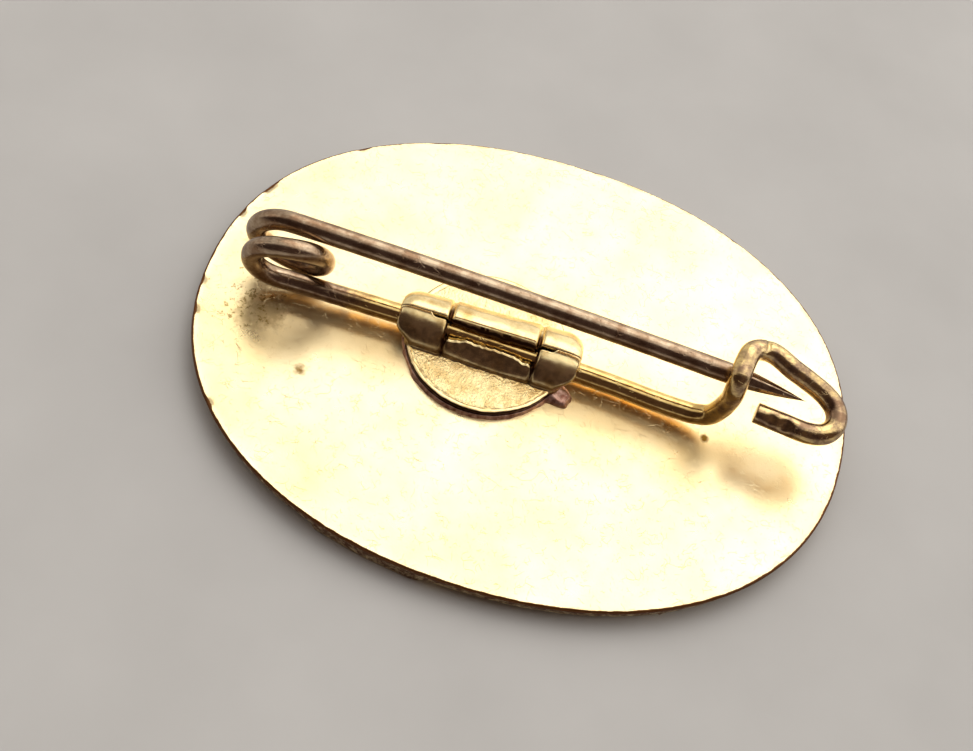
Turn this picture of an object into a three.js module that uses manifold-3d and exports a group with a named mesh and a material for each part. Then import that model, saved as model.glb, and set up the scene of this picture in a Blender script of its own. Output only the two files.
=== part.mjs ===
// Oval enamel badge with a safety-pin fitting on its back, in millimetres.
// +X runs along the oval and the pin wire, towards the catch. +Z points out of the back.
// The origin is the centre of the oval at z = 0, the level of the highest relief on the front,
// which is the side that the badge lies on.

import * as THREE from 'three';
import { mergeVertices } from 'three/addons/utils/BufferGeometryUtils.js';
import Module from 'manifold-3d';

const wasm = await Module();
wasm.setup();

// ---- Driving dimensions ----

const OVAL_LENGTH = 31.8;
const OVAL_WIDTH = 25.2;
const OVAL_POWER = 2.17; // 2 is a true ellipse, a little more fills out its shoulders
const BADGE_THICKNESS = 1.1; // from the highest relief on the front to the back
const EDGE_THICKNESS = 0.7;
const WIRE_DIAMETER = 1.0;
const PATCH_DIAMETER = 8.0;
const PATCH_SHEET = 0.45;
const PATCH_CENTRE = [-2.0, -0.16]; // on the back of the oval
const FITTING_TURN = THREE.MathUtils.degToRad(0.9); // the pin was soldered on slightly askew
const COIL_MEAN_DIAMETER = 3.32;
const COIL_TURNS = 1.5;

// ---- Front: border, cells and relief ----

const MARGIN = 0.9; // bare metal outside the border's enamel
const BORDER_WIDTH = 1.9;
const BORDER_LINE = 0.6; // metal line between border and field
const CELL_DEPTH = 0.35;
const CELL_GAP = 0.03; // keeps each enamel solid clear of its cell's walls
const ENAMEL_DIP = 0.06; // enamel surface below the metal lines around it
const FLOWER_CENTRE = [0, 1.2];
const PETAL_COUNT = 5;
const PETAL_LENGTH = 5.6;
const PETAL_WIDTH = 5.0;
const PETAL_REACH = 4.6; // from the flower's centre to a petal's centre
const PETAL_LINE = 0.45; // metal rim around a petal's enamel
const STAMEN_RADIUS = 1.9;
const LEAF_LENGTH = 6.2;
const LEAF_WIDTH = 3.0;
const LEAF_PLACES = [ // centre x, centre y and angle in degrees
  [7.4, -8.3, -52],
  [-7.9, -6.6, 225],
  [10.3, 0.1, 5],
  [-10.3, 0.1, 175],
];
const SCROLL_CENTRE_X = -3.6;
const SCROLL_LENGTH = 6.6;
const SCROLL_WIDTH = 3.2;
const SCROLL_OVERHANG = 0.25; // the scroll's lower edge runs out past the rim and is trimmed to it

// ---- Pin wire, measured from the patch's centre on the back of the oval ----

const COIL_CENTRE_X = -10.05;
const WIRE_LIFT = 0.93; // centre of the wire above the back where the coil starts
const COIL_PLACES = [-0.19, -0.63, -0.83, 0.26, 1.05, 1.09, 0.7]; // y at each quarter turn
const PIN_TIP = [14.95, -0.13, 3.45];
const PIN_TAPER = 3.4;
const PIN_BOW = 0.16; // how far the middle of the arm bows away from the catch's open side
const WIRE_GAP = 0.05; // the arms stop this short of the coil's ends
const WIRE_SIDES = 12;
const FIXED_ROUTE = [ // along the back and through the patch, then up, over the pin and round its point
  [-8, -0.19, 0.92],
  [-6, -0.19, 0.9],
  [-4, -0.19, 0.87],
  [-2, -0.21, 0.82],
  [0, -0.25, 0.79],
  [2, -0.3, 0.76],
  [4, -0.36, 0.73],
  [5.7, -0.45, 0.72],
  [6.7, -0.52, 0.72],
  [7.75, -0.62, 0.73],
  [8.75, -0.72, 0.76],
  [9.7, -0.81, 0.84],
  [10.4, -0.9, 0.97],
  [11.05, -0.95, 1.35],
  [11.42, -0.96, 2.2],
  [11.57, -0.98, 3.2],
  [11.55, -1.0, 4.0],
  [11.55, -0.66, 4.62],
  [11.65, 0.12, 4.82],
  [11.85, 0.72, 4.82],
  [12.3, 1.04, 4.72],
  [12.95, 1.14, 4.55],
  [14.0, 0.82, 4.25],
  [14.95, 0.66, 3.9],
  [15.8, 0.42, 3.6],
  [16.33, 0.07, 3.42],
  [16.56, -0.43, 3.3],
  [16.5, -0.96, 3.18],
  [16.1, -1.38, 3.08],
  [15.4, -1.52, 3.02],
  [14.2, -1.38, 3.0],
  [12.9, -1.23, 3.0],
];

// ---- Patch: a disc pressed with a tunnel over the wire, slotted along its near side ----

const TUNNEL_START_X = -4.3;
const TUNNEL_END_X = 4.4;
const TUNNEL_CENTRE_Y = 0.05;
const TUNNEL_HALF_WIDTH = 1.6;
const TUNNEL_HEIGHT = 1.3; // crest above the disc
const TUNNEL_POWER = 1.7; // below 2, so the crest is a little pointed
const TUNNEL_SHEET = 0.3;
const SLOT_START_X = -2.0;
const SLOT_END_X = 2.45;
const SLOT_LIP_Z = 1.15; // the torn lip left standing on the near side
const SLOT_ROOF_Y = -0.05; // the near edge of the roof that is left over the wire
const SOLDER_SHEET = 0.08;
const SOLDER_FILLET = 0.16;
const SOLDER_GAP = 0.02; // keeps the fillet clear of the disc's edge
const SOLDER_BLOB = { x: 4.0, y: -1.75, radius: 0.75, height: 0.26 };

// ---- Levels, worked out ----

const wireRadius = WIRE_DIAMETER / 2;
const coilRadius = COIL_MEAN_DIAMETER / 2;
const faceLevel = BADGE_THICKNESS - EDGE_THICKNESS;
const coilCentreZ = WIRE_LIFT + coilRadius;
const pinStart = [COIL_CENTRE_X, COIL_PLACES.at(-1), WIRE_LIFT + COIL_MEAN_DIAMETER];

// ---- Materials ----

function metal(color, roughness) {
  return new THREE.MeshStandardMaterial({ color, roughness, metalness: 1 });
}

function glass(color) {
  return new THREE.MeshStandardMaterial({ color, roughness: 0.12, metalness: 0 });
}

const gilt = metal(0xe8cf86, 0.3);
const patchBrass = metal(0xc9a35a, 0.35);
const wireBrass = metal(0xb08d4c, 0.32);
const solderMetal = metal(0xc8b19a, 0.45);
const borderBlue = glass(0x16315f);
const fieldCream = glass(0xe9e2cc);
const petalRed = glass(0x9d1f2a);
const leafGreen = glass(0x1d6a45);

// ---- Booleans ----

function toSolid(geometry) {
  const bare = geometry.clone();
  bare.deleteAttribute('normal');
  bare.deleteAttribute('uv');
  const merged = mergeVertices(bare, 1e-4);
  return new wasm.Manifold(new wasm.Mesh({
    numProp: 3,
    vertProperties: new Float32Array(merged.attributes.position.array),
    triVerts: new Uint32Array(merged.index.array),
  }));
}

function toGeometry(solid) {
  const mesh = solid.getMesh();
  const geometry = new THREE.BufferGeometry();
  geometry.setAttribute('position', new THREE.BufferAttribute(mesh.vertProperties, 3));
  geometry.setIndex(new THREE.BufferAttribute(mesh.triVerts, 1));
  geometry.computeVertexNormals();
  return geometry;
}

function part(name, geometry, material) {
  const mesh = new THREE.Mesh(geometry, material);
  mesh.name = name;
  return mesh;
}

// ---- Outlines ----

function superellipse(halfLength, halfWidth, power, steps) {
  const points = [];
  for (let i = 0; i < steps; i += 1) {
    const angle = (i / steps) * 2 * Math.PI;
    const cos = Math.cos(angle);
    const sin = Math.sin(angle);
    const x = Math.sign(cos) * halfLength * Math.abs(cos) ** (2 / power);
    const y = Math.sign(sin) * halfWidth * Math.abs(sin) ** (2 / power);
    points.push(new THREE.Vector2(x, y));
  }
  return new THREE.Shape(points);
}

function ovalOutline(inset, steps = 96) {
  return superellipse(OVAL_LENGTH / 2 - inset, OVAL_WIDTH / 2 - inset, OVAL_POWER, steps);
}

// A petal is an egg shape with its broad end outwards.
function petalOutline(inset) {
  const steps = 28;
  const points = [];
  for (let i = 0; i < steps; i += 1) {
    const angle = (i / steps) * 2 * Math.PI;
    const along = Math.cos(angle) * (PETAL_LENGTH / 2 - inset);
    const swell = 1 + 0.22 * Math.cos(angle);
    points.push(new THREE.Vector2(along, Math.sin(angle) * (PETAL_WIDTH / 2 - inset) * swell));
  }
  return new THREE.Shape(points);
}

// A leaf is two arcs that meet in a point at each end.
function leafOutline(inset) {
  const half = LEAF_LENGTH / 2 - inset * 1.7;
  const bulge = LEAF_WIDTH - 2 * inset;
  const shape = new THREE.Shape();
  shape.moveTo(-half, 0);
  shape.quadraticCurveTo(0, -bulge, half, 0);
  shape.quadraticCurveTo(0, bulge, -half, 0);
  return shape;
}

// The scroll is a blank ribbon that follows the lower edge of the oval, a little higher at one end.
function scrollOutline(inset) {
  const rise = 1.0;
  const half = SCROLL_LENGTH / 2 - inset;
  const top = SCROLL_WIDTH / 2 - inset;
  const shape = new THREE.Shape();
  shape.moveTo(-half, -top + rise);
  shape.quadraticCurveTo(0, -top - rise * 0.6, half, -top + rise * 0.6);
  shape.lineTo(half, top + rise * 0.6);
  shape.quadraticCurveTo(0, top - rise * 0.6, -half, top + rise);
  shape.closePath();
  return shape;
}

function slab(shape, bottom, top, curveSegments = 10) {
  const geometry = new THREE.ExtrudeGeometry(shape, {
    depth: top - bottom,
    bevelEnabled: false,
    curveSegments,
  });
  geometry.translate(0, 0, bottom);
  return geometry;
}

function placed(geometry, x, y, turn) {
  geometry.rotateZ(turn);
  geometry.translate(x, y, 0);
  return geometry;
}

function petalSlab(index, inset, bottom, top) {
  const turn = Math.PI / 2 + (index / PETAL_COUNT) * 2 * Math.PI;
  const x = FLOWER_CENTRE[0] + PETAL_REACH * Math.cos(turn);
  const y = FLOWER_CENTRE[1] + PETAL_REACH * Math.sin(turn);
  return placed(slab(petalOutline(inset), bottom, top), x, y, turn);
}

function leafSlab(index, inset, bottom, top) {
  const [x, y, degrees] = LEAF_PLACES[index];
  return placed(slab(leafOutline(inset), bottom, top), x, y, THREE.MathUtils.degToRad(degrees));
}

function scrollSlab(inset, bottom, top) {
  const y = -OVAL_WIDTH / 2 + SCROLL_WIDTH / 2 - SCROLL_OVERHANG;
  return placed(slab(scrollOutline(inset), bottom, top), SCROLL_CENTRE_X, y, 0);
}

function stamenSlab(radius, bottom, top) {
  const [x, y] = FLOWER_CENTRE;
  return placed(slab(superellipse(radius, radius, 2, 24), bottom, top), x, y, 0);
}

// ---- Badge body and enamel ----

const petals = Array.from({ length: PETAL_COUNT }, (_, index) => index);
const leaves = LEAF_PLACES.map((_, index) => index);

// Relief stands proud of the face and reaches down to z = 0.
function relief(inset, bottom, top) {
  let solid = toSolid(scrollSlab(inset, bottom, top));
  for (const index of petals) {
    solid = solid.add(toSolid(petalSlab(index, inset, bottom, top)));
  }
  for (const index of leaves) {
    solid = solid.add(toSolid(leafSlab(index, inset, bottom, top)));
  }
  return solid.add(toSolid(stamenSlab(STAMEN_RADIUS - inset, bottom, top)));
}

function ring(outerInset, innerInset, bottom, top) {
  const outer = toSolid(slab(ovalOutline(outerInset), bottom, top));
  return outer.subtract(toSolid(slab(ovalOutline(innerInset), bottom - 1, top + 1)));
}

const borderInner = MARGIN + BORDER_WIDTH;
const fieldInset = borderInner + BORDER_LINE;
const cellFloor = faceLevel + CELL_DEPTH;
const petalFloor = 0.5;

function badgeBody() {
  const plate = toSolid(slab(ovalOutline(0), faceLevel, BADGE_THICKNESS));
  const borderCell = ring(MARGIN, borderInner, faceLevel - 1, cellFloor);
  const fieldCell = toSolid(slab(ovalOutline(fieldInset), faceLevel - 1, cellFloor));
  const insideOval = toSolid(slab(ovalOutline(0), -1, BADGE_THICKNESS));
  let body = plate.subtract(borderCell).subtract(fieldCell);
  body = body.add(relief(0, 0, cellFloor + 0.1).intersect(insideOval));
  for (const index of petals) {
    body = body.subtract(toSolid(petalSlab(index, PETAL_LINE, -1, petalFloor)));
  }
  for (const index of leaves) {
    body = body.subtract(toSolid(leafSlab(index, PETAL_LINE, -1, petalFloor)));
  }
  const stamen = toSolid(stamenSlab(STAMEN_RADIUS, 0, cellFloor));
  return toGeometry(body.add(stamen));
}

// Enamel that lies around the relief: its outline is the cell less the relief, which may part it.
function enamelAround(cell) {
  const fills = cell.subtract(relief(-CELL_GAP, -1, BADGE_THICKNESS));
  return fills.decompose().map(toGeometry);
}

const enamelTop = faceLevel + ENAMEL_DIP;
const borderEnamels = enamelAround(
  ring(MARGIN + CELL_GAP, borderInner - CELL_GAP, enamelTop, cellFloor),
);
const fieldEnamels = enamelAround(
  toSolid(slab(ovalOutline(fieldInset + CELL_GAP), enamelTop, cellFloor)),
);

function petalEnamel(index) {
  const fill = toSolid(petalSlab(index, PETAL_LINE + CELL_GAP, ENAMEL_DIP, petalFloor));
  return toGeometry(fill.subtract(toSolid(stamenSlab(STAMEN_RADIUS + CELL_GAP, -1, 1))));
}

function leafEnamel(index) {
  return leafSlab(index, PETAL_LINE + CELL_GAP, ENAMEL_DIP, petalFloor);
}

// ---- Wire ----

function wireSection() {
  return superellipse(wireRadius, wireRadius, 2, WIRE_SIDES);
}

function sweep(curve, steps) {
  return new THREE.ExtrudeGeometry(wireSection(), { steps, bevelEnabled: false, extrudePath: curve });
}

function catchWire() {
  const points = [[COIL_CENTRE_X + WIRE_GAP, COIL_PLACES[0], WIRE_LIFT], ...FIXED_ROUTE];
  const curve = new THREE.CatmullRomCurve3(
    points.map(([x, y, z]) => new THREE.Vector3(x, y, z)),
    false,
    'centripetal',
  );
  return sweep(curve, 96);
}

// The coil starts at the bottom, in line with the fixed arm, and ends on top, where the pin leaves.
const coilPlaces = new THREE.SplineCurve(
  COIL_PLACES.map((y, index) => new THREE.Vector2(index / (COIL_PLACES.length - 1), y)),
);

class CoilCurve extends THREE.Curve {
  getPoint(share, target = new THREE.Vector3()) {
    const angle = share * COIL_TURNS * 2 * Math.PI;
    return target.set(
      COIL_CENTRE_X - coilRadius * Math.sin(angle),
      coilPlaces.getPoint(share).y,
      coilCentreZ - coilRadius * Math.cos(angle),
    );
  }
}

// The pin arm is turned on a straight axis: full diameter, then a long taper to the point.
// It is then bowed a little, most in the middle.
function pinArm() {
  const start = new THREE.Vector3(...pinStart);
  const tip = new THREE.Vector3(...PIN_TIP);
  const direction = tip.clone().sub(start).normalize();
  start.addScaledVector(direction, WIRE_GAP);
  const length = start.distanceTo(tip);
  const profile = [new THREE.Vector2(0, 0)];
  for (const share of [0, 0.15, 0.3, 0.45, 0.6, 0.75, 1]) {
    profile.push(new THREE.Vector2(wireRadius, share * (length - PIN_TAPER)));
  }
  for (const share of [0.35, 0.65, 0.85]) {
    const radius = wireRadius * (1 - share ** 1.35);
    profile.push(new THREE.Vector2(radius, length - PIN_TAPER * (1 - share)));
  }
  profile.push(new THREE.Vector2(0, length));
  const geometry = new THREE.LatheGeometry(profile, WIRE_SIDES);
  const up = new THREE.Vector3(0, 1, 0);
  geometry.applyQuaternion(new THREE.Quaternion().setFromUnitVectors(up, direction));
  const places = geometry.attributes.position;
  const point = new THREE.Vector3();
  for (let i = 0; i < places.count; i += 1) {
    point.fromBufferAttribute(places, i);
    const share = THREE.MathUtils.clamp(point.dot(direction) / length, 0, 1);
    places.setY(i, point.y + 4 * PIN_BOW * share * (1 - share));
  }
  geometry.translate(start.x, start.y, start.z);
  return geometry;
}

// ---- Patch and solder ----

// Cross-section of the tunnel, across the wire: a slightly pointed arch that stands on a flat base.
function tunnelOutline(halfWidth, height, base) {
  const steps = 20;
  const points = [new THREE.Vector2(halfWidth, base), new THREE.Vector2(-halfWidth, base)];
  for (let i = 0; i <= steps; i += 1) {
    const angle = Math.PI * (1 - i / steps);
    const across = Math.sign(Math.cos(angle)) * Math.abs(Math.cos(angle)) ** (2 / TUNNEL_POWER);
    const rise = Math.abs(Math.sin(angle)) ** (2 / TUNNEL_POWER);
    points.push(new THREE.Vector2(halfWidth * across, PATCH_SHEET + height * rise));
  }
  return new THREE.Shape(points);
}

// A slab whose outline lies across the wire and whose depth runs along it.
function alongWire(shape, startX, endX) {
  const geometry = slab(shape, startX, endX);
  geometry.rotateX(Math.PI / 2);
  geometry.rotateZ(Math.PI / 2);
  geometry.translate(0, TUNNEL_CENTRE_Y, 0);
  return toSolid(geometry);
}

function boxSolid(lowX, highX, lowY, highY, lowZ, highZ) {
  const geometry = new THREE.BoxGeometry(highX - lowX, highY - lowY, highZ - lowZ);
  geometry.translate((lowX + highX) / 2, (lowY + highY) / 2, (lowZ + highZ) / 2);
  return toSolid(geometry);
}

function patchPlate() {
  const radius = PATCH_DIAMETER / 2;
  const innerHalfWidth = TUNNEL_HALF_WIDTH - TUNNEL_SHEET;
  const innerHeight = TUNNEL_HEIGHT - TUNNEL_SHEET;
  const disc = toSolid(slab(superellipse(radius, radius, 2, 64), SOLDER_SHEET, PATCH_SHEET));
  const outside = tunnelOutline(TUNNEL_HALF_WIDTH, TUNNEL_HEIGHT, SOLDER_SHEET + TUNNEL_SHEET / 2);
  const inside = tunnelOutline(innerHalfWidth, innerHeight, -1);
  const tunnel = alongWire(outside, TUNNEL_START_X, TUNNEL_END_X);
  const bore = alongWire(inside, TUNNEL_START_X - 1, TUNNEL_END_X + 1);
  const slot = boxSolid(SLOT_START_X, SLOT_END_X, -3, SLOT_ROOF_Y, SLOT_LIP_Z, 3);
  return toGeometry(disc.add(tunnel).subtract(bore).subtract(slot));
}

function solderJoint() {
  const radius = PATCH_DIAMETER / 2;
  const clear = radius + SOLDER_GAP;
  const profile = [
    new THREE.Vector2(0, 0),
    new THREE.Vector2(clear + SOLDER_FILLET, 0),
    new THREE.Vector2(clear + SOLDER_FILLET / 3, SOLDER_FILLET / 2),
    new THREE.Vector2(clear, SOLDER_FILLET * 1.5),
    new THREE.Vector2(clear, SOLDER_SHEET),
    new THREE.Vector2(0, SOLDER_SHEET),
    new THREE.Vector2(0, 0),
  ];
  const layer = new THREE.LatheGeometry(profile, 64);
  layer.rotateX(Math.PI / 2);
  const dome = new THREE.SphereGeometry(1, 16, 8);
  dome.scale(SOLDER_BLOB.radius, SOLDER_BLOB.radius, SOLDER_BLOB.height);
  dome.translate(SOLDER_BLOB.x, SOLDER_BLOB.y, 0);
  const above = boxSolid(-9, 9, -9, 9, 0, 2);
  const keepOut = toSolid(slab(superellipse(clear, clear, 2, 64), SOLDER_SHEET, 3));
  const blob = toSolid(dome).intersect(above).subtract(keepOut);
  return toGeometry(toSolid(layer).add(blob));
}

// ---- Assembly ----

const badge = new THREE.Group();
badge.add(part('badge_body', badgeBody(), gilt));
borderEnamels.forEach((geometry, index) => {
  badge.add(part(`enamel_border_${index + 1}`, geometry, borderBlue));
});
fieldEnamels.forEach((geometry, index) => {
  badge.add(part(`enamel_field_${index + 1}`, geometry, fieldCream));
});
for (const index of petals) {
  badge.add(part(`enamel_petal_${index + 1}`, petalEnamel(index), petalRed));
}
for (const index of leaves) {
  badge.add(part(`enamel_leaf_${index + 1}`, leafEnamel(index), leafGreen));
}

const fitting = new THREE.Group();
fitting.position.set(PATCH_CENTRE[0], PATCH_CENTRE[1], BADGE_THICKNESS);
fitting.rotation.z = FITTING_TURN;
fitting.add(part('solder_joint', solderJoint(), solderMetal));
fitting.add(part('patch_plate', patchPlate(), patchBrass));

fitting.add(part('catch_wire', catchWire(), wireBrass));
fitting.add(part('spring_coil', sweep(new CoilCurve(), 44), wireBrass));
fitting.add(part('pin_arm', pinArm(), wireBrass));
badge.add(fitting);

export default badge;
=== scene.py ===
# %% [markdown]
# # An enamel badge, seen from the back
# A badge like this is struck from brass sheet between two steel dies, enamelled on the front, gilded, and given a
# safety pin on the back. This notebook keeps every piece where the imported model has it and makes its fine surface:
# the burr round the stamped edge, the pressed tunnel that holds the wire, the bent wire itself and the solder. The
# first cell loads the model.

# %% Load the model
import math
import bpy
import numpy as np
from mathutils import Matrix, Vector


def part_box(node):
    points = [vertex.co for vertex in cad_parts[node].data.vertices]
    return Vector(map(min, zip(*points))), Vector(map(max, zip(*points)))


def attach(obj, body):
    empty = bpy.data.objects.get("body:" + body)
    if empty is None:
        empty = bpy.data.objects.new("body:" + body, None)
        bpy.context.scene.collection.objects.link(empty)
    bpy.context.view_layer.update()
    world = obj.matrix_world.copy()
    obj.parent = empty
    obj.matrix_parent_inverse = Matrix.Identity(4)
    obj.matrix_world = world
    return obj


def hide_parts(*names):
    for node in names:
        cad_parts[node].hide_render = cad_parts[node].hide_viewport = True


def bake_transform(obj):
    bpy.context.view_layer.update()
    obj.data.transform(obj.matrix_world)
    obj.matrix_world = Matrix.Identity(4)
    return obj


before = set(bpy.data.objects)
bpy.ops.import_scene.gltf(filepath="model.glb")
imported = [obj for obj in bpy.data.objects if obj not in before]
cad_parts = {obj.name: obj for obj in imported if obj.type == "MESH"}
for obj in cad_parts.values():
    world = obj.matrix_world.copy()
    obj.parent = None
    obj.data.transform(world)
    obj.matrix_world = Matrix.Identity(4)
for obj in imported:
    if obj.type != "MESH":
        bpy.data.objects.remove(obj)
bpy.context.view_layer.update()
MM = 0.001

# %% [markdown]
# All places come from the model. The oval's half sizes and the level of the back are read from the badge's box, and
# the patch's centre from its own box. The pin was soldered on a little askew, so everything on the back is drawn
# straight along X first and then turned by the same small angle.

# %% Sizes in millimetres
blank_high = np.array(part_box("badge_body")[1]) / MM
patch_low, patch_high = (np.array(corner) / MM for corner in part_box("patch_plate"))
HALF_LENGTH, HALF_WIDTH = blank_high[0], blank_high[1]
BACK = blank_high[2]
PATCH_CENTRE = (patch_low + patch_high) / 2
OVAL_POWER = 2.17
FACE = 0.4  # level of the plain metal on the front, which is the lower side
FITTING_TURN = math.radians(0.9)
WIRE_LIFT = 0.93
WIRE_RADIUS = 0.5
print("oval", (2 * HALF_LENGTH).round(2), "by", (2 * HALF_WIDTH).round(2), "mm, back at", BACK.round(2))


def on_back(points):
    """Points drawn from the patch's centre, heights counted from the back, to the model's own frame. All in mm."""
    points = np.asarray(points, float)
    x, y, z = points[..., 0], points[..., 1], points[..., 2]
    cos, sin = math.cos(FITTING_TURN), math.sin(FITTING_TURN)
    turned = (PATCH_CENTRE[0] + cos * x - sin * y, PATCH_CENTRE[1] + sin * x + cos * y, BACK + z)
    return np.stack(turned, -1)


# %% [markdown]
# Blender can make a mesh from a list of points and faces. Most pieces here are rings of points, drawn round an oval
# or as sections along a wire. The helpers join neighbouring rings, close the two ends, and make an object that is
# shaded smooth. Random unevenness comes from one smooth noise function that gives the same result each run.

# %% Helpers for meshes


def grid_faces(rows, columns, first=0):
    """Quads between neighbouring rings of points stored one after another."""
    faces = []
    for r in range(rows - 1):
        below = first + r * columns
        above = below + columns
        for c in range(columns):
            d = (c + 1) % columns
            faces.append((below + c, below + d, above + d, above + c))
    return faces


def capped_rings(rings, first_middle, last_middle):
    """A closed skin over rings of points, with a fan of triangles to a point at each end."""
    count, columns = len(rings), len(rings[0])
    first_cap, last_cap, last_ring = count * columns, count * columns + 1, (count - 1) * columns
    faces = [face[::-1] for face in grid_faces(count, columns)]
    for step in range(columns):
        after = (step + 1) % columns
        faces.append((step, after, first_cap))
        faces.append((last_ring + after, last_ring + step, last_cap))
    return np.concatenate([*rings, [first_middle], [last_middle]]), faces


def make_piece(name, points, faces, material):
    """An object from points in mm and faces, in the model's frame."""
    mesh = bpy.data.meshes.new(name)
    mesh.from_pydata((np.asarray(points, float) * MM).tolist(), [], faces)
    mesh.validate()
    mesh.update()
    piece = bpy.data.objects.new(name, mesh)
    bpy.context.scene.collection.objects.link(piece)
    if material:
        mesh.materials.append(material)
    mesh.shade_smooth()
    return piece


def mark(piece, name, values):
    """Stores one number a point on a piece, for its material to read."""
    layer = piece.data.attributes.new(name, "FLOAT", "POINT")
    layer.data.foreach_set("value", np.asarray(values, np.float32))


def lattice(cells):
    """A repeatable random value from -1 to 1 for each whole-number point."""
    mixed = cells[..., 0] * 374761393 + cells[..., 1] * 668265263 + cells[..., 2] * 2147483647
    mixed = (mixed ^ (mixed >> 13)) * 1274126177
    return ((mixed ^ (mixed >> 16)) & 0xFFFF) / 32767.5 - 1


def smooth_noise(points, size, seed=0):
    """Value noise from about -1 to 1 with lumps of about that size, in mm."""
    scaled = np.asarray(points, float) / size + 97.3 * (seed + 1)
    base = np.floor(scaled).astype(np.int64)
    part = scaled - base
    part = part * part * (3 - 2 * part)
    total = 0
    for corner in range(8):
        step = np.array([corner & 1, corner >> 1 & 1, corner >> 2 & 1])
        weight = np.prod(np.where(step, part, 1 - part), -1)
        total = total + weight * lattice(base + step)
    return total


def ramp(value, low, high):
    """0 below low, 1 above high and smooth between."""
    share = np.clip((np.asarray(value, float) - low) / (high - low), 0, 1)
    return share * share * (3 - 2 * share)


# %% [markdown]
# A material or a sky is a small tree of shader nodes. One helper adds a node with its settings and links, and gives
# back the output that the next node needs. Range nodes use sockets 1 and 2 for where a value comes from, and 3 and 4
# for where it goes, which is 0 to 1 when nothing else is said.

# %% Helper for shader nodes


def node(owner, kind, inputs=(), **settings):
    """The main output of a new node. inputs pairs a socket with a value or with another node's output."""
    made = owner.node_tree.nodes.new("ShaderNode" + kind)
    for key, value in settings.items():
        setattr(made, key, value)
    for socket, value in dict(inputs).items():
        if isinstance(value, bpy.types.NodeSocket):
            owner.node_tree.links.new(value, made.inputs[socket])
        else:
            made.inputs[socket].default_value = value
    return next(output for output in made.outputs if output.enabled)


# %% [markdown]
# ## Camera, floor and light
# The badge lies face down, and the camera looks at its back from a little over half way up, close by and turned a
# little on its side. A narrow lens far away would flatten it, so the distance is worked out from how the near side
# is larger than the far one. Everything is a few centimetres across, so the clip distance is small too.

# %% Camera
CAMERA_ELEVATION = math.radians(56.7)
CAMERA_AZIMUTH = math.radians(1.72)
CAMERA_ROLL = math.radians(15.98)
CAMERA_DISTANCE = 70.6
LOOK_AT = np.array([-1.501, -1.719, BACK])
LENS_SHARE = 1.5149024  # focal length as a share of the picture's width

cos_up, sin_up = math.cos(CAMERA_ELEVATION), math.sin(CAMERA_ELEVATION)
backward = Vector((math.sin(CAMERA_AZIMUTH) * cos_up, -math.cos(CAMERA_AZIMUTH) * cos_up, sin_up))
level_right = Vector((math.cos(CAMERA_AZIMUTH), math.sin(CAMERA_AZIMUTH), 0))
level_up = backward.cross(level_right)
right = level_right * math.cos(CAMERA_ROLL) + level_up * math.sin(CAMERA_ROLL)
up = backward.cross(right)
camera_data = bpy.data.cameras.new("camera")
camera_data.sensor_width = 36
camera_data.lens = 36 * LENS_SHARE
camera_data.clip_start = 0.002
camera_data.clip_end = 20
camera = bpy.data.objects.new("camera", camera_data)
bpy.context.scene.collection.objects.link(camera)
place = Vector(LOOK_AT * MM) + backward * CAMERA_DISTANCE * MM
camera.matrix_world = Matrix.Translation(place) @ Matrix((right, up, backward)).transposed().to_4x4()
bpy.context.scene.camera = camera
print("camera", [round(v / MM, 1) for v in place], "mm, lens", round(camera_data.lens, 1))

# %% [markdown]
# A bright gilt plate shows little of its own: it mirrors what stands opposite the camera. A large soft panel there
# turns the whole plate pale gold. The sky is bright from the far horizon to just past the zenith and a little dimmer
# on the left. The side behind the camera stays dark and warm, which draws the dark band along each wire, apart from
# a pale strip above the horizon that puts a fine lighter line into that band.

# %% Floor and lights
view_settings = bpy.context.scene.view_settings
view_settings.view_transform = "Standard"

FLOOR_HALF = 900
corners = [(x * FLOOR_HALF, y * FLOOR_HALF, 0) for x, y in ((-1, -1), (1, -1), (1, 1), (-1, 1))]
floor = make_piece("floor", corners, [(0, 1, 2, 3)], None)


def panel(name, azimuth, elevation, distance, size, brightness, tint=(1, 1, 1)):
    """A soft light that faces the badge, and looks white at brightness 1. Angles in degrees, lengths in mm."""
    data = bpy.data.lights.new(name, "AREA")
    data.shape = "RECTANGLE"
    data.size, data.size_y = size[0] * MM, size[1] * MM
    data.energy = brightness * math.pi * data.size * data.size_y
    data.color = tint
    light = bpy.data.objects.new(name, data)
    bpy.context.scene.collection.objects.link(light)
    a, e = math.radians(azimuth), math.radians(elevation)
    towards = Vector((math.cos(a) * math.cos(e), math.sin(a) * math.cos(e), math.sin(e)))
    light.location = towards * distance * MM
    light.rotation_euler = towards.to_track_quat("Z", "Y").to_euler()


panel("window_panel", 78, 52, 420, (420, 330), 1.12, (1.0, 0.985, 0.95))
panel("left_fill", 178, 30, 420, (120, 160), 0.5, (1.0, 0.98, 0.95))
panel("right_fill", 5, 28, 420, (120, 160), 0.5, (0.96, 0.98, 1.0))

world = bpy.data.worlds.new("studio")
bpy.context.scene.world = world
world.use_nodes = True
direction = node(world, "TexCoord")


def sky_ramp(towards, low, high, dark, bright):
    """Brightness that rises as a direction turns towards a vector."""
    facing = node(world, "VectorMath", {0: direction, 1: towards}, operation="DOT_PRODUCT")
    ends = {0: facing, 1: low, 2: high, 3: dark, 4: bright}
    return node(world, "MapRange", ends, interpolation_type="SMOOTHSTEP")


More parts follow.
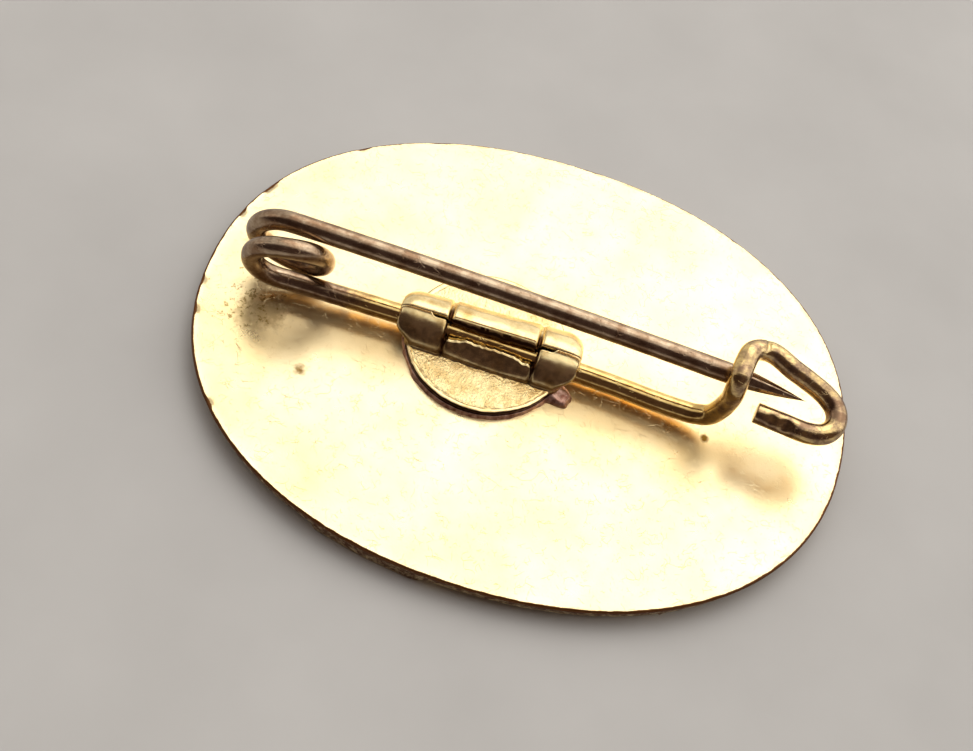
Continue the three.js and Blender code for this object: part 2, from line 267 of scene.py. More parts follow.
window_side = sky_ramp((0, 0.976, 0.216), -0.1, 0.14, 0.045, 1.0)
left_dimmer = sky_ramp((1, 0, 0), -0.5, 0.4, 0.75, 1.45)
above = node(world, "Math", {0: window_side, 1: left_dimmer}, operation="MULTIPLY")
horizon = sky_ramp((0, 0, 1), 0.0, 0.17, 0.5, 0.0)
strength = node(world, "Math", {0: above, 1: horizon}, operation="MAXIMUM")
tint = {}
for channel, in_shade, in_light in (("Red", 1.5, 1.0), ("Green", 0.94, 0.975), ("Blue", 0.8, 0.94)):
    tint[channel] = node(world, "MapRange", {0: strength, 1: 0.05, 2: 0.4, 3: in_shade, 4: in_light})
sky = world.node_tree.nodes["Background"]
world.node_tree.links.new(strength, sky.inputs["Strength"])
world.node_tree.links.new(node(world, "CombineColor", tint), sky.inputs["Color"])

# %% [markdown]
# ## Finishes
# Each finish is one material on Blender's Principled shader. Colours are given as the usual sRGB hex values, and one
# function turns them to the linear numbers that Blender works with. Patterns are measured in millimetres, so the
# object's coordinates are multiplied by a thousand first, and a noise's scale is 1 over the size of its lumps.

# %% Helpers for materials


def linear(hex_colour):
    """An sRGB hex colour as linear RGBA."""
    channels = [int(hex_colour[i : i + 2], 16) / 255 for i in (1, 3, 5)]
    return tuple(c / 12.92 if c <= 0.04045 else ((c + 0.055) / 1.055) ** 2.4 for c in channels) + (1.0,)


def new_material(name, **values):
    """A material with its Principled shader set, and its coordinates in mm."""
    material = bpy.data.materials.new(name)
    material.use_nodes = True
    for socket, value in values.items():
        material.node_tree.nodes["Principled BSDF"].inputs[socket.replace("_", " ")].default_value = value
    place = node(material, "TexCoord").node.outputs["Object"]
    return material, node(material, "VectorMath", {0: place, "Scale": 1 / MM}, operation="SCALE")


def drive(material, **outputs):
    """Links outputs to the Principled shader's sockets of those names."""
    shader = material.node_tree.nodes["Principled BSDF"]
    for socket, output in outputs.items():
        material.node_tree.links.new(output, shader.inputs[socket.replace("_", " ")])


def layered(material, colour, *layers):
    """A base colour with others laid over it, each by its own share. Hex values or outputs."""
    for share, above in layers:
        pair = [linear(c) if isinstance(c, str) else c for c in (colour, above)]
        colour = node(material, "Mix", {0: share, 6: pair[0], 7: pair[1]}, data_type="RGBA")
    return colour


def hairlines(material, place, cell, width, seed):
    """Short curved scratches: thin cell borders of a bent Voronoi pattern, shown only here and there."""
    moved = node(material, "VectorMath", {0: place, 1: (seed * 7.1, seed * 3.7, 0)}, operation="ADD")
    wander = node(material, "TexNoise", {"Vector": moved, "Scale": 0.8 / cell, "Detail": 1.0})
    bend = {0: wander.node.outputs["Color"], 1: (cell * 2.2,) * 3, 2: moved}
    cells = {"Vector": node(material, "VectorMath", bend, operation="MULTIPLY_ADD"), "Scale": 1 / cell}
    border = node(material, "TexVoronoi", cells, feature="DISTANCE_TO_EDGE")
    line = node(material, "MapRange", {0: border, 1: 0.0, 2: width / cell, 3: 1.0, 4: 0.0})
    patches = node(material, "TexNoise", {"Vector": moved, "Scale": 1 / (cell * 0.9), "Detail": 1.0})
    shown = node(material, "MapRange", {0: patches, 1: 0.56, 2: 0.62})
    return node(material, "Math", {0: line, 1: shown}, operation="MULTIPLY")


# %% [markdown]
# ** Gilt brass, satin.** The back was left as the die struck it and then gilded, which gives a bright warm mirror
# that is slightly blurred, covered in short hairlines from years of wear. Near the edge and by the coil the gilding
# has gone and the brass has browned, and there the colour also carries painted shade: along the burr and down the
# wall, and where the coil's shadow and dark reflection fall on the plate. A metal keeps the default IOR, and its
# colour is its reflection.

# %% Gilt brass
gilt, gilt_mm = new_material("gilt_brass_satin", Metallic=1.0)
broad = node(gilt, "TexNoise", {"Vector": gilt_mm, "Scale": 1 / 3.2, "Detail": 3.0})
paler = node(gilt, "MapRange", {0: broad, 1: 0.35, 2: 0.65})
fine = node(gilt, "TexNoise", {"Vector": gilt_mm, "Scale": 1 / 0.28, "Detail": 4.0, "Roughness": 0.65})
specks = node(gilt, "MapRange", {0: fine, 1: 0.62, 2: 0.75, 4: 0.5})

# Dark brown patches on the back: tarnish stains, and next to the coil also painted shade where the coil's shadow and
# dark reflection fall on the plate.
STAINS_AND_COIL_SHADE = [  # centre x and y on the back, radius, and how strong
    (-12.6, -1.9, 1.3, 0.55),
    (-14.2, 1.9, 0.9, 0.5),
    (-9.91, -4.56, 0.42, 0.9),
    (9.38, -1.39, 0.25, 1.0),
]
ragged = node(gilt, "TexNoise", {"Vector": gilt_mm, "Scale": 1 / 0.7, "Detail": 5.0, "Roughness": 0.7})
stain_and_shade = 0.0
for blotch_x, blotch_y, radius, share in STAINS_AND_COIL_SHADE:
    reach = node(gilt, "VectorMath", {0: gilt_mm, 1: (blotch_x, blotch_y, BACK)}, operation="DISTANCE")
    patchy = node(gilt, "Math", {0: ragged, 1: -2.4 * radius, 2: reach}, operation="MULTIPLY_ADD")
    edge = node(gilt, "MapRange", {0: patchy, 1: -0.9 * radius, 2: -0.2 * radius, 3: share, 4: 0.0})
    stain_and_shade = node(gilt, "Math", {0: edge, 1: stain_and_shade}, operation="MAXIMUM")

# Small dark pits gather near the coil, where the soldering heat burnt the gilding.
from_coil = node(gilt, "VectorMath", {0: gilt_mm, 1: (-13.6, -1.6, BACK)}, operation="DISTANCE")
closeness = node(gilt, "MapRange", {0: from_coil, 1: 0.8, 2: 4.4, 3: 0.14, 4: -0.1})
flecks = node(gilt, "TexNoise", {"Vector": gilt_mm, "Scale": 1 / 0.3, "Detail": 4.0, "Roughness": 0.75})
flecks = node(gilt, "Math", {0: flecks, 1: closeness}, operation="ADD")
pits = node(gilt, "MapRange", {0: flecks, 1: 0.68, 2: 0.73, 4: 0.75})

# The burr and the sheared wall of the edge are painted dark: worn, bare brass together with painted shade along the
# burr and down the wall. The mesh stores where.
worn_and_shaded = node(gilt, "Attribute", attribute_name="wear_and_painted_shade").node.outputs["Fac"]
worn_and_shaded = node(gilt, "Math", {0: worn_and_shaded, 1: -0.45}, operation="ADD")
rubbed_and_shaded = node(gilt, "TexNoise", {"Vector": gilt_mm, "Scale": 1 / 0.35, "Detail": 4.0, "Roughness": 0.7})
rubbed_and_shaded = node(gilt, "Math", {0: rubbed_and_shaded, 1: 0.9, 2: worn_and_shaded}, operation="MULTIPLY_ADD")
shade_and_bare_brass = node(gilt, "MapRange", {0: rubbed_and_shaded, 1: 0.35, 2: 0.62})
over = [(paler, "#F8DEA6"), (specks, "#DDB96A"), (stain_and_shade, "#8E6A2C"), (pits, "#8A6A28"), (shade_and_bare_brass, "#6B4426")]
gold = layered(gilt, "#FCE7B8", *over)

hazy = node(gilt, "TexNoise", {"Vector": gilt_mm, "Scale": 1 / 1.4, "Detail": 4.0, "Roughness": 0.6})
blur = node(gilt, "MapRange", {0: hazy, 1: 0.3, 2: 0.7, 3: 0.26, 4: 0.36})
for dulled in (stain_and_shade, shade_and_bare_brass):
    blur = node(gilt, "Math", {0: dulled, 1: 0.2, 2: blur}, operation="MULTIPLY_ADD")
grain = node(gilt, "TexNoise", {"Vector": gilt_mm, "Scale": 1 / 0.12, "Detail": 3.0, "Roughness": 0.6})
grain = node(gilt, "Bump", {"Height": grain, "Distance": 0.004 * MM})
long_lines, short_lines = hairlines(gilt, gilt_mm, 0.9, 0.014, 1), hairlines(gilt, gilt_mm, 0.45, 0.009, 2)
scratches = node(gilt, "Math", {0: long_lines, 1: short_lines}, operation="MAXIMUM")
scratches = node(gilt, "Bump", {"Height": scratches, "Distance": -0.006 * MM, "Normal": grain})
drive(gilt, Base_Color=gold, Roughness=blur, Normal=scratches)
print("gilt brass:", len(gilt.node_tree.nodes), "nodes")

# %% [markdown]
# **Drawn brass wire.** Wire is pulled through a die, which leaves it smooth and bright, with very fine lines along
# it. The arm on the back is still golden. The pin arm is handled every time, so it has turned a pinkish bronze, and
# the coil and catch are part of the way there: the mesh stores how far. The lines run along X for most of the wire's
# length, so the noise is stretched that way.

# %% Wire
wire, wire_mm = new_material("drawn_brass_wire", Metallic=1.0)
tarnish = node(wire, "TexNoise", {"Vector": wire_mm, "Scale": 1 / 0.9, "Detail": 5.0, "Roughness": 0.65})
along = node(wire, "VectorMath", {0: wire_mm, 1: (0.14, 1.0, 1.0)}, operation="MULTIPLY")
drawn = node(wire, "TexNoise", {"Vector": along, "Scale": 1 / 0.1, "Detail": 3.0, "Roughness": 0.6})
handled = node(wire, "Attribute", attribute_name="bronzed").node.outputs["Fac"]
handled = node(wire, "Math", {0: tarnish, 1: 1.6, 2: handled}, operation="MULTIPLY_ADD")
handled = node(wire, "MapRange", {0: handled, 1: 0.95, 2: 1.35})
golden = layered(wire, "#F0CF88", (node(wire, "MapRange", {0: tarnish, 1: 0.4, 2: 0.68}), "#C79F58"))
bronze = layered(wire, "#BBA58A", (node(wire, "MapRange", {0: tarnish, 1: 0.4, 2: 0.62}), "#8C6F56"))
grooves = node(wire, "MapRange", {0: drawn, 1: 0.5, 2: 0.72, 4: 0.5})
shade = layered(wire, golden, (handled, bronze), (grooves, "#7A5B3E"))
blur = node(wire, "MapRange", {0: tarnish, 1: 0.3, 2: 0.7, 3: 0.1, 4: 0.17})
blur = node(wire, "Math", {0: handled, 1: 0.1, 2: blur}, operation="MULTIPLY_ADD")
lines = node(wire, "Bump", {"Height": drawn, "Distance": 0.005 * MM})
rubs = hairlines(wire, wire_mm, 0.6, 0.02, 5)
rubs = node(wire, "Bump", {"Height": rubs, "Distance": -0.006 * MM, "Normal": lines})
drive(wire, Base_Color=shade, Roughness=blur, Normal=rubs)

# %% [markdown]
# ** Pressed brass sheet and soft solder.** The patch is sheet brass, pebbled where the press tool's worn face touched
# it. Its colour is painted darker with shade in its corners and creases, on the disc's wall and inside the tunnel.
# The solder that ran out under it is dull, lumpy and pinkish, as it has taken up copper from the brass.

# %% Patch and solder
sheet, sheet_mm = new_material("pressed_sheet_brass", Metallic=1.0)
dull = node(sheet, "TexNoise", {"Vector": sheet_mm, "Scale": 1 / 0.9, "Detail": 5.0, "Roughness": 0.6})
duller = node(sheet, "MapRange", {0: dull, 1: 0.45, 2: 0.72})
# Painted shade: the patch's mesh stores where its colour is darkened for shade, and noise mottles it.
painted_shade = node(sheet, "Attribute", attribute_name="wear_and_painted_shade").node.outputs["Fac"]
mottled_painted_shade = node(sheet, "TexNoise", {"Vector": sheet_mm, "Scale": 1 / 0.3, "Detail": 3.0})
mottled_painted_shade = node(sheet, "Math", {0: mottled_painted_shade, 1: 0.6, 2: painted_shade}, operation="MULTIPLY_ADD")
mottled_painted_shade = node(sheet, "MapRange", {0: mottled_painted_shade, 1: 0.55, 2: 1.0})
pebbles = node(sheet, "Attribute", attribute_name="pebbled").node.outputs["Fac"]
struck = node(sheet, "TexNoise", {"Vector": sheet_mm, "Scale": 1 / 0.13, "Detail": 2.5, "Roughness": 0.6})
struck = node(sheet, "Math", {0: struck, 1: pebbles}, operation="MULTIPLY")
wavy = node(sheet, "TexNoise", {"Vector": sheet_mm, "Scale": 1 / 0.3, "Detail": 2.0})
wavy = node(sheet, "Bump", {"Height": wavy, "Distance": 0.004 * MM})
drive(
    sheet,
    Base_Color=layered(sheet, "#F6DDA4", (duller, "#CDA766"), (mottled_painted_shade, "#51351F")),
    Roughness=node(sheet, "MapRange", {0: dull, 1: 0.3, 2: 0.7, 3: 0.14, 4: 0.26}),
    Normal=node(sheet, "Bump", {"Height": struck, "Distance": 0.05 * MM, "Normal": wavy}),
)

solder, solder_mm = new_material("soft_solder_dull", Metallic=1.0, Roughness=0.42)
lumps = node(solder, "TexNoise", {"Vector": solder_mm, "Scale": 1 / 0.3, "Detail": 4.0, "Roughness": 0.6})
coppery = node(solder, "MapRange", {0: lumps, 1: 0.35, 2: 0.65})
lumpy = node(solder, "Bump", {"Height": lumps, "Distance": 0.03 * MM})
drive(solder, Base_Color=layered(solder, "#E6BFAC", (coppery, "#9A6A58")), Normal=lumpy)

# %% [markdown]
# **Vitreous enamel.** Coloured glass is fired into each cell and stoned flat with the metal. It is opaque, with a
# clear glossy skin, small clouds in its colour and a few pinholes. Glass has an IOR near 1.5.

# %% Enamels


def enamel(name, light, dark):
    """Fired enamel of two near colours."""
    glass, place = new_material(name, Roughness=0.12, IOR=1.52, Coat_Weight=0.6, Coat_Roughness=0.05)
    clouds = node(glass, "TexNoise", {"Vector": place, "Scale": 1 / 1.8, "Detail": 4.0, "Roughness": 0.6})
    clouds = node(glass, "MapRange", {0: clouds, 1: 0.35, 2: 0.65})
    bubbles = node(glass, "TexVoronoi", {"Vector": place, "Scale": 1.6})
    pinholes = node(glass, "MapRange", {0: bubbles, 1: 0.03, 2: 0.07, 3: 1.0, 4: 0.0})
    stoned = node(glass, "TexNoise", {"Vector": place, "Scale": 1 / 2.5, "Detail": 2.0})
    stoned = node(glass, "Bump", {"Height": stoned, "Distance": 0.02 * MM})
    pitted = node(glass, "Bump", {"Height": pinholes, "Distance": -0.02 * MM, "Normal": stoned})
    drive(glass, Base_Color=layered(glass, light, (clouds, dark), (pinholes, "#2A211B")), Normal=pitted)
    return glass


enamels = {
    "enamel_border": enamel("vitreous_enamel_navy", "#1B3C7C", "#122A5C"),
    "enamel_field": enamel("vitreous_enamel_ivory", "#EDE5CF", "#DED2B4"),
    "enamel_petal": enamel("vitreous_enamel_red", "#A3202B", "#7E1420"),
    "enamel_leaf": enamel("vitreous_enamel_green", "#22764A", "#155534"),
}
for node_name, cad_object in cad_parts.items():
    for start, finish in enamels.items():
        if node_name.startswith(start):
            cad_object.data.materials.clear()
            cad_object.data.materials.append(finish)
print("enamel cells:", sum(n.startswith("enamel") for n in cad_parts))

# %% [markdown]
# **The floor** is a plain pale board, matt, with the faintest unevenness so that the shadow doesn't look painted.

# %% Floor material
board, board_mm = new_material("painted_board_matt", Roughness=0.75)
shades = node(board, "TexNoise", {"Vector": board_mm, "Scale": 1 / 9.0, "Detail": 5.0})
shades = node(board, "MapRange", {0: shades, 1: 0.3, 2: 0.7})
drive(board, Base_Color=layered(board, "#C9C6C2", (shades, "#C1BEBA")))
floor.data.materials.append(board)

# %% [markdown]
# ## The struck blank
# The blank is one closed skin. It starts at the centre of the back, runs out in rings to the edge, over the burr
# that the cropping tool raised, down the wall, and back in over the front. On the front each point's height comes
# from how far inside each outline it is: the scroll, the petals and leaves with their rims, and the cells between. A
# slope of a fraction of a millimetre takes the place of a vertical wall, as it does on a real die so that the badge
# comes out.

# %% Outlines of the front
FLOWER = np.array([0.0, 1.2])
PETALS = [math.pi / 2 + k / 5 * 2 * math.pi for k in range(5)]
PETAL_HALF = (2.8, 2.5)
PETAL_REACH = 4.6
STAMEN_RADIUS = 1.9
LEAVES = [(7.4, -8.3, -52), (-7.9, -6.6, 225), (10.3, 0.1, 5), (-10.3, 0.1, 175)]
LEAF_HALF = (3.1, 1.5)
SCROLL_CENTRE = (-3.6, -HALF_WIDTH + 1.6 - 0.25)
SCROLL_HALF = (3.3, 1.6)
MARGIN, BORDER_END, FIELD_START = 0.9, 2.8, 3.4
CELL_DEPTH = 0.35
FLOWER_FLOOR = 0.5
BEAD_LINE, BEAD_HALF, BEAD_WAVES = 3.1, 0.26, 66


def into(x, y, centre, angle):
    """Coordinates along and across a shape at that centre and angle."""
    dx, dy = x - centre[0], y - centre[1]
    cos, sin = math.cos(angle), math.sin(angle)
    return dx * cos + dy * sin, -dx * sin + dy * cos


def inside_oval(x, y):
    """How far in from the oval's edge a point is, in mm."""
    low = np.zeros_like(x)
    high = np.full_like(x, HALF_WIDTH - 0.01)
    for _ in range(18):
        middle = (low + high) / 2
        size = (np.abs(x) / (HALF_LENGTH - middle)) ** OVAL_POWER + (np.abs(y) / (HALF_WIDTH - middle)) ** OVAL_POWER
        low = np.where(size < 1, middle, low)
        high = np.where(size < 1, high, middle)
    return low


def inside_petal(x, y, angle):
    """How far in from a petal's outline a point is: an egg with its broad end outwards."""
    centre = FLOWER + PETAL_REACH * np.array([math.cos(angle), math.sin(angle)])
    u, v = into(x, y, centre, angle)
    far = np.hypot(u, v) + 1e-9
    around = np.arctan2(v / PETAL_HALF[1], u / PETAL_HALF[0])
    swell = PETAL_HALF[1] * (1 + 0.22 * np.cos(around))
    size = np.hypot(u / PETAL_HALF[0], v / swell)
    return far * (1 / size - 1)


def inside_leaf(x, y, leaf):
    """How far in from a leaf's outline a point is, and its place along and across the leaf."""
    u, v = into(x, y, leaf[:2], math.radians(leaf[2]))
    half = LEAF_HALF[1] * (1 - (u / LEAF_HALF[0]) ** 2)
    slope = 2 * LEAF_HALF[1] * np.abs(u) / LEAF_HALF[0] ** 2
    depth = np.where(np.abs(u) < LEAF_HALF[0], (half - np.abs(v)) / np.hypot(1, slope), -1.0)
    return depth, u, v


def inside_scroll(x, y):
    """How far in from the scroll's outline a point is."""
    u, v = x - SCROLL_CENTRE[0], y - SCROLL_CENTRE[1]
    share = np.clip((u + SCROLL_HALF[0]) / (2 * SCROLL_HALF[0]), 0, 1)
    bend = (1 - share) ** 2 * 1.0 - 2 * share * (1 - share) * 0.6 + share**2 * 0.6
    return np.minimum(SCROLL_HALF[1] - np.abs(v - bend), SCROLL_HALF[0] - np.abs(u))


def front_level(x, y):
    """Height of the front's metal at each point. 0 is the highest relief, as the front looks down."""
    rim = inside_oval(x, y)
    spots = np.stack([x, y, 0 * x], -1)
    cell = ramp(rim, MARGIN, MARGIN + 0.18) * (1 - ramp(rim, BORDER_END - 0.2, BORDER_END))
    level = FACE + CELL_DEPTH * np.maximum(cell, ramp(rim, FIELD_START, FIELD_START + 0.18))
    angle = np.arctan2(y / HALF_WIDTH, x / HALF_LENGTH)
    bead = np.clip(1 - ((rim - BEAD_LINE) / BEAD_HALF) ** 2, 0, 1) * np.abs(np.sin(angle * BEAD_WAVES)) ** 0.6
    level = level - 0.2 * np.sqrt(bead)
    lip = ramp(rim, 0.05, 0.2) * (1 - ramp(rim, 0.45, 0.65))
    level = level - 0.05 * lip

    def raise_to(depth, height, slope=0.2):
        return level + (height - level) * ramp(depth, -0.02, slope)

    for leaf in LEAVES:
        depth, u, v = inside_leaf(x, y, leaf)
        level = raise_to(depth, 0.04)
        floor_share = ramp(depth, 0.4, 0.56)
        vein = (1 - ramp(np.abs(v), 0.05, 0.17)) * (1 - ramp(u, 0.9, 1.5)) * ramp(u, -2.6, -2.0)
        level = level + (FLOWER_FLOOR - level) * floor_share * (1 - vein)
    for petal in PETALS:
        depth = inside_petal(x, y, petal)
        level = raise_to(depth, 0.03)
        level = level + (FLOWER_FLOOR - level) * ramp(depth, 0.4, 0.56)
    middle = STAMEN_RADIUS - np.hypot(x - FLOWER[0], y - FLOWER[1])
    seeds = 0.5 + 0.5 * np.cos((x - FLOWER[0]) * 9) * np.cos((y - FLOWER[1]) * 9)
    dome = 0.16 - 0.15 * ramp(middle, 0, 1.6) + 0.08 * seeds * ramp(middle, 0.2, 0.5)
    level = raise_to(middle, dome)
    depth = inside_scroll(x, y)
    groove = np.exp(-(((depth - 0.42) / 0.07) ** 2)) * 0.1
    level = raise_to(depth, groove, 0.16)
    return level + 0.004 * smooth_noise(spots, 0.6, 3)


# %% Build the blank
AROUND = 720
BACK_WAVE = 0.012
WALL_START = 0.13  # how far below the back the sheared wall begins


def oval_ring(scale):
    """Points on the oval drawn at that scale about its centre."""
    angle = np.arange(AROUND) / AROUND * 2 * math.pi
    cos, sin = np.cos(angle), np.sin(angle)
    x = np.sign(cos) * HALF_LENGTH * np.abs(cos) ** (2 / OVAL_POWER)
    y = np.sign(sin) * HALF_WIDTH * np.abs(sin) ** (2 / OVAL_POWER)
    return scale * x, scale * y


def ring_points(inset, z):
    """A ring that far in from the edge, measured across the oval, at height z."""
    x, y = oval_ring(1 - inset / HALF_WIDTH)
    return np.stack([x, y, z + 0 * x], -1)


rings, wear_and_painted_shade = [], []
back_insets = np.concatenate([np.linspace(HALF_WIDTH - 0.3, 1.2, 40), np.linspace(1.0, 0.3, 8)])
for inset in back_insets:
    ring = ring_points(inset, BACK)
    ring[:, 2] += BACK_WAVE * smooth_noise(ring, 4.5, 1) + 0.003 * smooth_noise(ring, 0.8, 2) - BACK_WAVE
    rings.append(ring)
    wear_and_painted_shade.append(np.zeros(AROUND))

# The edge in section: a shallow roll, the burr on its crest, then the sheared wall.
EDGE_SECTION = [  # inset, height above the back, how dark the colour is (worn bare brass and painted shade), share of the burr
    (0.20, -0.004, 0.0, 0.0),
    (0.14, -0.002, 0.0, 0.3),
    (0.10, 0.004, 0.45, 1.0),
    (0.065, 0.006, 0.9, 0.8),
    (0.035, -0.020, 1.0, 0.2),
    (0.012, -0.065, 0.9, 0.0),
    (0.0, -WALL_START, 0.75, 0.0),
]
seat = ring_points(0.0, 0.0)
burr = 0.5 + 0.5 * smooth_noise(seat, 0.5, 5) + 0.35 * smooth_noise(seat, 0.18, 6)
left_wear = ramp(-seat[:, 0], 8, 14)
chips = ramp(smooth_noise(seat, 0.9, 7), 0.25, 0.7) * (0.35 + 0.65 * left_wear)
flare = 0.12 + 0.04 * ramp(np.abs(seat[:, 0]), 8, 14)  # the burr spreads past the oval
for inset, lift, wear_and_shade_share, burr_share in EDGE_SECTION:
    ring = ring_points(inset, BACK + lift)
    ring[:, 2] += 0.03 * burr_share * burr - 0.05 * chips * burr_share
    inwards = 0.05 * chips * (0.3 + burr_share) - flare * (0.5 if inset > 0.15 else 1.0)
    ring[:, :2] *= 1 - (inwards / HALF_WIDTH)[:, None]
    rings.append(ring)
    wear_and_painted_shade.append(wear_and_shade_share * (0.75 + 0.25 * burr))

foot = front_level(*oval_ring(1 - 0.04 / HALF_WIDTH))
top = BACK - WALL_START
# The sheared wall: its colour is painted dark, partly worn bare brass and partly painted shade on a wall that faces
# sideways.
for share in np.linspace(0.1, 1, 9):
    ring = ring_points(0.0, 0.0)
    ring[:, 2] = top + (foot + 0.05 - top) * share
    wall = 0.010 * smooth_noise(ring * np.array([1, 1, 0.15]), 0.16, 8) + 0.012 * smooth_noise(ring, 0.7, 9)
    ring[:, :2] *= (1 - (0.012 + wall + 0.02 * share - flare * (1 - 0.7 * share)) / HALF_WIDTH)[:, None]
    rings.append(ring)
    wear_and_painted_shade.append(np.full(AROUND, 0.62 - 0.12 * share))
front_insets = np.concatenate([np.linspace(0.06, 4.0, 44), np.linspace(4.1, HALF_WIDTH - 0.25, 78)])
for inset in front_insets:
    x, y = oval_ring(1 - inset / HALF_WIDTH)
    rings.append(np.stack([x, y, front_level(x, y)], -1))
    wear_and_painted_shade.append(np.full(AROUND, 0.25 if inset < 0.1 else 0.0))

blank_points, blank_faces = capped_rings(rings, [0, 0, BACK - BACK_WAVE], [0, 0, rings[-1][:, 2].mean()])
blank = make_piece("struck_blank", blank_points, blank_faces, gilt)
mark(blank, "wear_and_painted_shade", np.concatenate([*wear_and_painted_shade, [0, 0]]))
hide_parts("badge_body")
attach(blank, "badge")
print("blank:", len(blank.data.vertices), "points")

# %% [markdown]
# ## The pin wire
# One length of wire is bent into the fixed arm, the coil, the sprung pin arm and the catch. A wire is a round
# section carried along a path. The path is smooth between a few bends, and the section is carried without twisting.
# Dents and plier marks are pushed into the finished surface.

# %% Helpers for wire
SIDES = 40


def smooth_path(points, spacing):
    """A centripetal Catmull-Rom curve through the points, at even spacing."""
    points = np.asarray(points, float)
    points = np.concatenate([[2 * points[0] - points[1]], points, [2 * points[-1] - points[-2]]])
    curve = []
    for a, b, c, d in zip(points, points[1:], points[2:], points[3:]):
        knots = np.cumsum([0] + [math.sqrt(np.linalg.norm(q - p)) for p, q in ((a, b), (b, c), (c, d))])
        t = np.linspace(knots[1], knots[2], 60, endpoint=False)[:, None]

        def mix(p, q, start, end):
            return (end - t) / (end - start) * p + (t - start) / (end - start) * q

        ab, bc, cd = mix(a, b, *knots[0:2]), mix(b, c, *knots[1:3]), mix(c, d, *knots[2:4])
        curve.append(mix(mix(ab, bc, knots[0], knots[2]), mix(bc, cd, knots[1], knots[3]), knots[1], knots[2]))
    curve = np.concatenate([*curve, [points[-2]]])
    return even(curve, spacing)


def even(curve, spacing):
    """The same line with its points evenly spaced."""
    run = np.concatenate([[0], np.cumsum(np.linalg.norm(np.diff(curve, axis=0), axis=1))])
    stations = np.linspace(0, run[-1], max(2, round(run[-1] / spacing)) + 1)
    return np.stack([np.interp(stations, run, curve[:, k]) for k in range(3)], -1)


def swept(path, radii):
    """Points of a round section carried along a path, and the outward direction of each."""
    along = np.gradient(path, axis=0)
    along /= np.linalg.norm(along, axis=1)[:, None]
    side = np.cross(along[0], (0, 0, 1.0))
    turn = np.arange(SIDES) / SIDES * 2 * math.pi
    points, outward = [], []
    for middle, direction, radius in zip(path, along, radii):
        side = side - direction * (side @ direction)
        side /= np.linalg.norm(side)
        other = np.cross(direction, side)
        ring = np.cos(turn)[:, None] * side + np.sin(turn)[:, None] * other
        points.append(middle + radius * ring)
        outward.append(ring)
    return np.concatenate(points), np.concatenate(outward)


def wire_piece(path, radii, end_round=0.0):
    """Points, outward directions and faces of a closed wire. Its ends are flat, the last with a softened corner."""
    if end_round:
        end, onward, inner = path[-1], unit(path[-1] - path[-2]), radii[-1] - end_round
        for angle in (math.radians(45), math.radians(80)):
            path = np.concatenate([path, [end + onward * end_round * math.sin(angle)]])
            radii = np.append(radii, inner + end_round * math.cos(angle))
    points, outward = swept(path, radii)
    points, faces = capped_rings(np.split(points, len(path)), path[0], path[-1])
    return points, np.concatenate([outward, np.zeros((2, 3))]), [face[::-1] for face in faces]


def uneven(points, outward, *layers):
    """The points moved in and out by noise, each layer with a height, a size and a seed."""
    return points + outward * sum(high * smooth_noise(points, size, seed) for high, size, seed in layers)[:, None]


def unit(vector):
    """The same direction with length 1."""
    return vector / np.linalg.norm(vector)


def dent(points, centre, size, push):
    """Pushes the points near a centre by a vector that fades out over size. All in mm."""
    share = np.exp(-(((points - centre) / size) ** 2).sum(-1))
    return points + share[:, None] * np.asarray(push)


# %% [markdown]
# **Fixed arm and catch.** The arm lies along the back, under the tunnel. At its end it rises on the near side of the
# pin, bends over it, runs on past the point on the far side and turns back in a loop, so that the point is shielded.
# The cutter left a flat end, and the pliers a nick on the hook and a dent on the loop.

# %% Fixed arm and catch
COIL_CENTRE_X = -10.05
COIL_RADIUS = 1.66
COIL_PLACES = [-0.19, -0.63, -0.83, 0.26, 1.05, 1.09, 0.7]  # y at each quarter turn
FIXED_ARM = [
    (COIL_CENTRE_X + 0.05, COIL_PLACES[0], WIRE_LIFT), (-8, -0.19, 0.92), (-6, -0.19, 0.9), (-4, -0.19, 0.87),
    (-2, -0.21, 0.82), (0, -0.25, 0.79), (2, -0.3, 0.76), (4, -0.36, 0.73), (5.7, -0.45, 0.72),
    (6.7, -0.52, 0.72), (7.75, -0.62, 0.73), (8.75, -0.72, 0.76), (9.7, -0.81, 0.84), (10.4, -0.9, 0.97),
]
CATCH_BENDS = [
    (11.05, -0.95, 1.35), (11.42, -0.96, 2.2), (11.57, -0.98, 3.2), (11.55, -1.0, 4.0), (11.55, -0.66, 4.62),
    (11.65, 0.12, 4.82), (11.85, 0.72, 4.82), (12.3, 1.04, 4.72), (12.95, 1.14, 4.55), (14.0, 0.82, 4.25),
    (14.95, 0.66, 3.9), (15.8, 0.42, 3.6), (16.33, 0.07, 3.42), (16.56, -0.43, 3.3), (16.5, -0.96, 3.18),
    (16.1, -1.38, 3.08), (15.4, -1.52, 3.02), (14.2, -1.38, 3.0), (12.9, -1.23, 3.0),
]
catch_path = smooth_path(on_back(FIXED_ARM + CATCH_BENDS), 0.07)
catch_points, outward, catch_faces = wire_piece(catch_path, np.full(len(catch_path), WIRE_RADIUS), 0.05)
catch_points = uneven(catch_points, outward, (0.006, 0.5, 11), (0.008, 1.4, 12))
TOOL_MARKS = [  # place, size and push
    ((12.5, 1.2, 5.2), (0.1, 0.5, 0.3), (0, -0.04, -0.14)),  # the nick on the hook
    ((14.3, -1.75, 3.3), (0.3, 0.3, 0.35), (0, 0.16, -0.1)),  # two dents on the loop
    ((13.6, -1.6, 3.35), (0.25, 0.3, 0.3), (0, 0.1, -0.05)),
    ((11.6, -0.3, 5.2), (0.5, 0.6, 0.25), (0, 0, -0.09)),  # the flat on top of the hook
]
for marked_at, marked_size, push in TOOL_MARKS:
    catch_points = dent(catch_points, on_back(marked_at), np.array(marked_size), push)
catch = make_piece("catch_wire_bent", catch_points, catch_faces, wire)
x_along = catch_points[:, 0]
